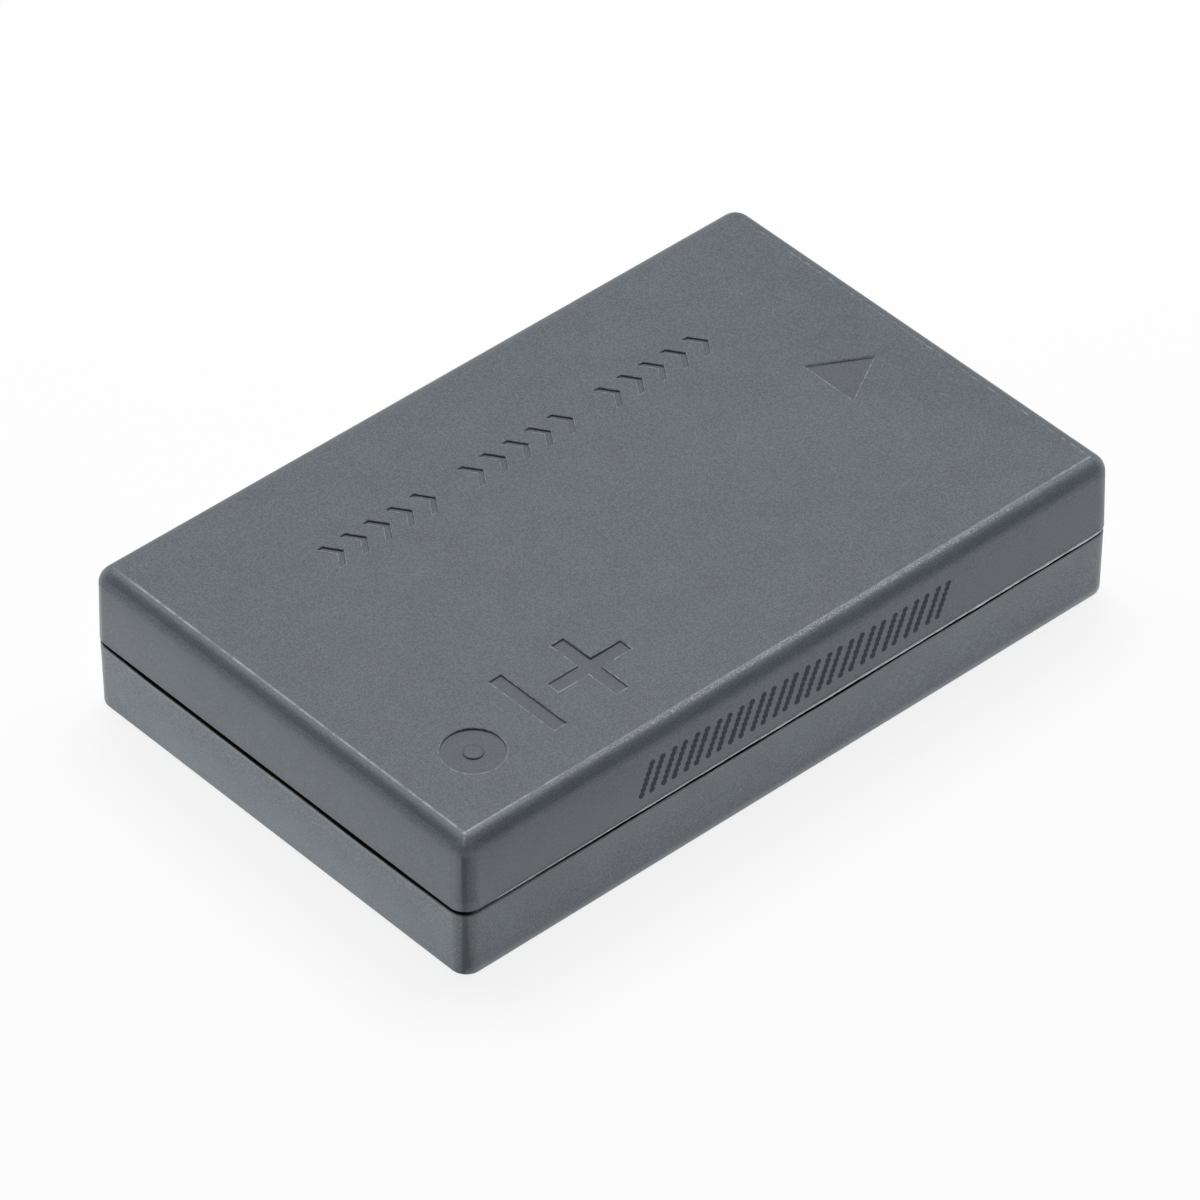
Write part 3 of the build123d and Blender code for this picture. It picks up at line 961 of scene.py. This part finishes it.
def discCutter():
    lean, flush, rub = discMark["lean"], discMark["flush"], discMark["rub"]
    outer, inner = discMark["radius"], discMark["dotRadius"]
    floor, dot = -discMark["depth"], -discMark["dotSunk"]
    profile = (
        (discMark["dotTop"], dot),
        (inner, dot - lean),
        (inner + lean, floor),
        (outer - lean, floor),
        (outer, -flush),
        (outer + rub, -flush),
        (outer + rub, flush),
    )
    centreX, centreY = discMark["place"]
    rings = []
    for radius, rise in profile:
        ring = []
        for step in range(discMark["segments"]):
            turn = 2 * math.pi * step / discMark["segments"]
            ring.append(onTop(centreX + radius * math.cos(turn), centreY + radius * math.sin(turn), rise))
        rings.append(ring)
    return stackRings("discCutter", rings, rubbedBand=4)


def inMetres(values, *lengths):
    return {**values, **{name: values[name] * mm for name in lengths}}


def applyTree(thing, tree, values):
    modifier = thing.modifiers.new(tree.name, "NODES")
    modifier.node_group = tree
    for item in tree.interface.items_tree:
        if item.item_type == "SOCKET" and item.in_out == "INPUT" and valueName(item.name) in values:
            modifier[item.identifier] = values[valueName(item.name)]
    return plainMesh(thing)


def finishTree(tree, geometry, material, result, selection=True):
    real = tree.nodes.new("GeometryNodeRealizeInstances")
    tree.links.new(geometry, real.inputs[0])
    paint = tree.nodes.new("GeometryNodeSetMaterial")
    tree.links.new(real.outputs[0], paint.inputs["Geometry"])
    feed(tree, paint.inputs["Selection"], selection)
    tree.links.new(material, paint.inputs["Material"])
    tree.links.new(paint.outputs[0], result[0])


# node tree that repeats a mark along a row, with wider gaps between its groups
def makeRowTree():
    tree, given, result = newGroup("markRow", "GeometryNodeTree", {
        "Geometry": "Geometry",
        "Count": 15,
        "Group Size": 5,
        "Pitch": 0.002,
        "Group Gap": 0.002,
        "Material": "Material",
    }, {"Geometry": "Geometry"})
    index = tree.nodes.new("GeometryNodeInputIndex").outputs[0]
    group = mathNode(tree, "FLOOR", mathNode(tree, "DIVIDE", index, given["Group Size"]))
    gap = product(tree, group, given["Group Gap"])
    along = mathNode(tree, "MULTIPLY_ADD", index, given["Pitch"], gap)
    points = tree.nodes.new("GeometryNodePoints")
    tree.links.new(given["Count"], points.inputs["Count"])
    tree.links.new(combineNode(tree, along, 0.0, 0.0), points.inputs["Position"])
    copies = tree.nodes.new("GeometryNodeInstanceOnPoints")
    tree.links.new(points.outputs[0], copies.inputs["Points"])
    tree.links.new(given["Geometry"], copies.inputs["Instance"])
    # the ring of painted highlight on the edge, on the second material slot, keeps its own material
    slot = tree.nodes.new("GeometryNodeInputMaterialIndex").outputs[0]
    onFirstSlot = mathNode(tree, "LESS_THAN", slot, 0.5)
    finishTree(tree, copies.outputs[0], given["Material"], result, onFirstSlot)
    return tree


def chevronCutter():
    half, reach, stroke = chevronRow["height"] / 2, chevronRow["reach"], chevronRow["stroke"]
    outline = [(0, -half), (stroke, -half), (reach, 0), (stroke, half), (0, half), (reach - stroke, 0)]
    cutter = sunkOutline("chevronCutter", shifted(outline, chevronRow["start"]), chevronRow)
    rowValues = inMetres(chevronRow, "pitch", "groupGap")
    return applyTree(cutter, makeRowTree(), {**rowValues, "material": recessPlastic})


def shellFromNode(node, name, material):
    build = bmesh.new()
    build.from_mesh(frame["nodes"][node].data)
    bmesh.ops.remove_doubles(build, verts=build.verts, dist=shellSet["merge"] * mm)
    mesh = bpy.data.meshes.new(name)
    build.to_mesh(mesh)
    build.free()
    mesh.materials.append(material)
    return makeObject(name, mesh)


def cutMarks(shell, cutters):
    for cutter in cutters:
        cut = shell.modifiers.new(cutter.name, "BOOLEAN")
        cut.operation = "DIFFERENCE"
        cut.solver = "EXACT"
        cut.material_mode = "TRANSFER"
        cut.object = cutter
    plainMesh(shell)
    for cutter in cutters:
        bpy.data.objects.remove(cutter)


def dullRim(shell):
    # the rounded rim and the tongue above it lie in the seam gap, which is painted dark as shade, and have
    # no gloss
    shell.data.materials.append(rimPlastic)
    rimStart = (lowerRim - seamSet["rounding"]) * mm
    for face in shell.data.polygons:
        face.material_index = 1 if face.center.z > rimStart else 0


def smoothShell(shell):
    mesh = shell.data
    mesh.shade_smooth()
    mesh.set_sharp_from_angle(angle=math.radians(shellSet["sharpAngle"]))
    even = shell.modifiers.new("evenNormals", "WEIGHTED_NORMAL")
    even.keep_sharp = True
    plainMesh(shell)


def ridePiece(piece, slot, *nodes):
    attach(piece, "root")
    if nodes:
        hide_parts(*nodes)


upperShell = shellFromNode("upper_shell", "upperShell", shellPlastic)
cutMarks(upperShell, [
    arrowCutter(),
    *signCutters("topSign", signMark),
    *signCutters("endSign", endMark, onContactEnd),
    discCutter(),
    chevronCutter(),
])
smoothShell(upperShell)
ridePiece(upperShell, "shell_plastic", "upper_shell")

lowerShell = shellFromNode("lower_shell", "lowerShell", lowerPlastic)
dullRim(lowerShell)
smoothShell(lowerShell)
ridePiece(lowerShell, "shell_plastic", "lower_shell")
print("shells ready")

# thin flash that the mould left along the upper rim of one long side, thicker towards the contact end,
# in mm: the taper is a share of its length, and wanderRange is a ramp from noise to a share of its radius
# the flash's near white colour is a painted highlight on the rim
rimSet = {"from": -23.2, "to": 24.65, "sunk": 0.005, "thinRadius": 0.04, "thickRadius": 0.09,
          "taper": 0.03, "tipShare": 0.2, "wanderSize": 2.2, "wanderRange": (0.3, 0.7, 0.75, 1.2),
          "count": 320, "sides": 8}


def makeRimTree():
    tree, given, result = newGroup("rimFlash", "GeometryNodeTree", {
        "Geometry": "Geometry",
        "Start": (0, 0, 0),
        "End": (1, 0, 0),
        "Count": 100,
        "Sides": 8,
        "Thin Radius": 0.00003,
        "Thick Radius": 0.00006,
        "Taper": 0.05,
        "Tip Share": 0.2,
        "Corner Start": 0.024,
        "Corner Radius": 0.001,
        "Wander Size": 0.0025,
        "Material": "Material",
    }, {"Geometry": "Geometry"})
    line = tree.nodes.new("GeometryNodeCurvePrimitiveLine")
    tree.links.new(given["Start"], line.inputs["Start"])
    tree.links.new(given["End"], line.inputs["End"])
    points = tree.nodes.new("GeometryNodeResampleCurve")
    tree.links.new(line.outputs[0], points.inputs["Curve"])
    tree.links.new(given["Count"], points.inputs["Count"])

    share = tree.nodes.new("GeometryNodeSplineParameter").outputs["Factor"]
    place = tree.nodes.new("GeometryNodeInputPosition").outputs[0]
    nearEnd = mathNode(tree, "MINIMUM", share, inverted(tree, share))
    swell = product(tree, mixNode(tree, "FLOAT", share, given["Thin Radius"], given["Thick Radius"]),
                    rangeNode(tree, nearEnd, 0.0, given["Taper"], given["Tip Share"], 1.0),
                    rangeNode(tree, noiseNode(tree, place, given["Wander Size"]), *rimSet["wanderRange"]))

    # past the start of the corner the line bends inwards with the corner's arc
    radius = given["Corner Radius"]
    past = mathNode(tree, "SUBTRACT", separateNode(tree, place)["X"], given["Corner Start"])
    past = largest(tree, past, 0.0)
    left = mathNode(tree, "SUBTRACT", product(tree, radius, radius), product(tree, past, past))
    bend = mathNode(tree, "SUBTRACT", radius, mathNode(tree, "SQRT", left))
    bent = tree.nodes.new("GeometryNodeSetPosition")
    tree.links.new(points.outputs[0], bent.inputs["Geometry"])
    tree.links.new(combineNode(tree, 0.0, bend, 0.0), bent.inputs["Offset"])

    ring = tree.nodes.new("GeometryNodeCurvePrimitiveCircle")
    ring.inputs["Radius"].default_value = 1.0
    tree.links.new(given["Sides"], ring.inputs["Resolution"])
    tube = tree.nodes.new("GeometryNodeCurveToMesh")
    tube.inputs["Fill Caps"].default_value = True
    tree.links.new(bent.outputs[0], tube.inputs["Curve"])
    tree.links.new(ring.outputs[0], tube.inputs["Profile Curve"])
    tree.links.new(swell, tube.inputs["Scale"])
    finishTree(tree, tube.outputs[0], given["Material"], result)
    return tree


rimFlash = makeObject("rimFlash", bpy.data.meshes.new("rimFlash"))
rimPlace = (rimSet["sunk"] - halfWidth, seamSet["height"])
applyTree(rimFlash, makeRimTree(), {
    **inMetres(rimSet, "thinRadius", "thickRadius", "wanderSize"),
    "start": Vector((rimSet["from"], *rimPlace)) * mm,
    "end": Vector((rimSet["to"], *rimPlace)) * mm,
    "cornerStart": (halfLength - shellSet["cornerRadius"]) * mm,
    "cornerRadius": shellSet["cornerRadius"] * mm,
    "material": flashPlastic,
})
rimFlash.data.shade_smooth()
ridePiece(rimFlash, "shell_plastic")
print("rim flash ready")

# printed strip of slanted dotted lines, in pairs, on the long side of the upper shell, in mm
inkStrip = {"from": (-11.75, 6.02), "pairs": 14, "rows": 7, "pairPitch": 1.69, "linePitch": 0.78,
            "slant": 0.14, "rowPitch": 0.325, "dotRadius": 0.21, "smallestDot": 0.95, "largestDot": 1.05,
            "dotHeight": 0.016, "jitter": 0.014, "corners": 12, "seed": 11}


def makeInkTree():
    tree, given, result = newGroup("inkDots", "GeometryNodeTree", {
        "Geometry": "Geometry",
        "Start": (0, 0, 0),
        "Pairs": 14,
        "Rows": 7,
        "Pair Pitch": 0.0017,
        "Line Pitch": 0.0007,
        "Row Pitch": 0.0003,
        "Slant": 0.0001,
        "Lean": 0.0,
        "Dot Radius": 0.00015,
        "Smallest Dot": 0.95,
        "Largest Dot": 1.05,
        "Dot Height": 0.00001,
        "Corners": 10,
        "Jitter": 0.00002,
        "Seed": 1,
        "Material": "Material",
    }, {"Geometry": "Geometry"})
    index = tree.nodes.new("GeometryNodeInputIndex").outputs[0]
    linesPerPair = 2.0
    perRow = product(tree, given["Pairs"], linesPerPair)
    row = mathNode(tree, "FLOOR", mathNode(tree, "DIVIDE", index, perRow))
    across = mathNode(tree, "SUBTRACT", index, product(tree, row, perRow))
    pair = mathNode(tree, "FLOOR", mathNode(tree, "DIVIDE", across, linesPerPair))
    line = mathNode(tree, "SUBTRACT", across, product(tree, pair, linesPerPair))

    shake = tree.nodes.new("FunctionNodeRandomValue")
    shake.data_type = "FLOAT_VECTOR"
    back = product(tree, given["Jitter"], -1.0)
    tree.links.new(combineNode(tree, back, 0.0, back), shake.inputs[0])
    tree.links.new(combineNode(tree, given["Jitter"], 0.0, given["Jitter"]), shake.inputs[1])
    tree.links.new(given["Seed"], shake.inputs["Seed"])
    rise = product(tree, row, given["Row Pitch"])
    run = mathNode(tree, "MULTIPLY_ADD", line, given["Line Pitch"], product(tree, row, given["Slant"]))
    run = mathNode(tree, "MULTIPLY_ADD", pair, given["Pair Pitch"], run)
    spot = combineNode(tree, run, product(tree, rise, given["Lean"]), rise)
    moved = vectorNode(tree, "ADD", spot, shake.outputs[0])

    points = tree.nodes.new("GeometryNodePoints")
    tree.links.new(product(tree, perRow, given["Rows"]), points.inputs["Count"])
    tree.links.new(vectorNode(tree, "ADD", moved, given["Start"]), points.inputs["Position"])
    dot = tree.nodes.new("GeometryNodeMeshCylinder")
    tree.links.new(given["Corners"], dot.inputs["Vertices"])
    tree.links.new(given["Dot Radius"], dot.inputs["Radius"])
    tree.links.new(given["Dot Height"], dot.inputs["Depth"])
    size = tree.nodes.new("FunctionNodeRandomValue")
    size.data_type = "FLOAT"
    tree.links.new(given["Smallest Dot"], size.inputs[2])
    tree.links.new(given["Largest Dot"], size.inputs[3])
    tree.links.new(given["Seed"], size.inputs["Seed"])
    copies = tree.nodes.new("GeometryNodeInstanceOnPoints")
    copies.inputs["Rotation"].default_value = (math.pi / 2, 0, 0)
    tree.links.new(points.outputs[0], copies.inputs["Points"])
    tree.links.new(dot.outputs["Mesh"], copies.inputs["Instance"])
    tree.links.new(size.outputs[1], copies.inputs["Scale"])
    finishTree(tree, copies.outputs[0], given["Material"], result)
    return tree


inkStartX, inkStartZ = inkStrip["from"]
inkStartY = (inkStartZ - seamSet["height"]) * draftSlope - halfWidth
inkBars = makeObject("inkBars", bpy.data.meshes.new("inkBars"))
inkLengths = ("pairPitch", "linePitch", "rowPitch", "slant", "dotRadius", "dotHeight", "jitter")
applyTree(inkBars, makeInkTree(), {
    **inMetres(inkStrip, *inkLengths),
    "start": Vector((inkStartX, inkStartY, inkStartZ)) * mm,
    "lean": draftSlope,
    "material": inkPrint,
})
ridePiece(inkBars, "shell_plastic")
print("ink ready")
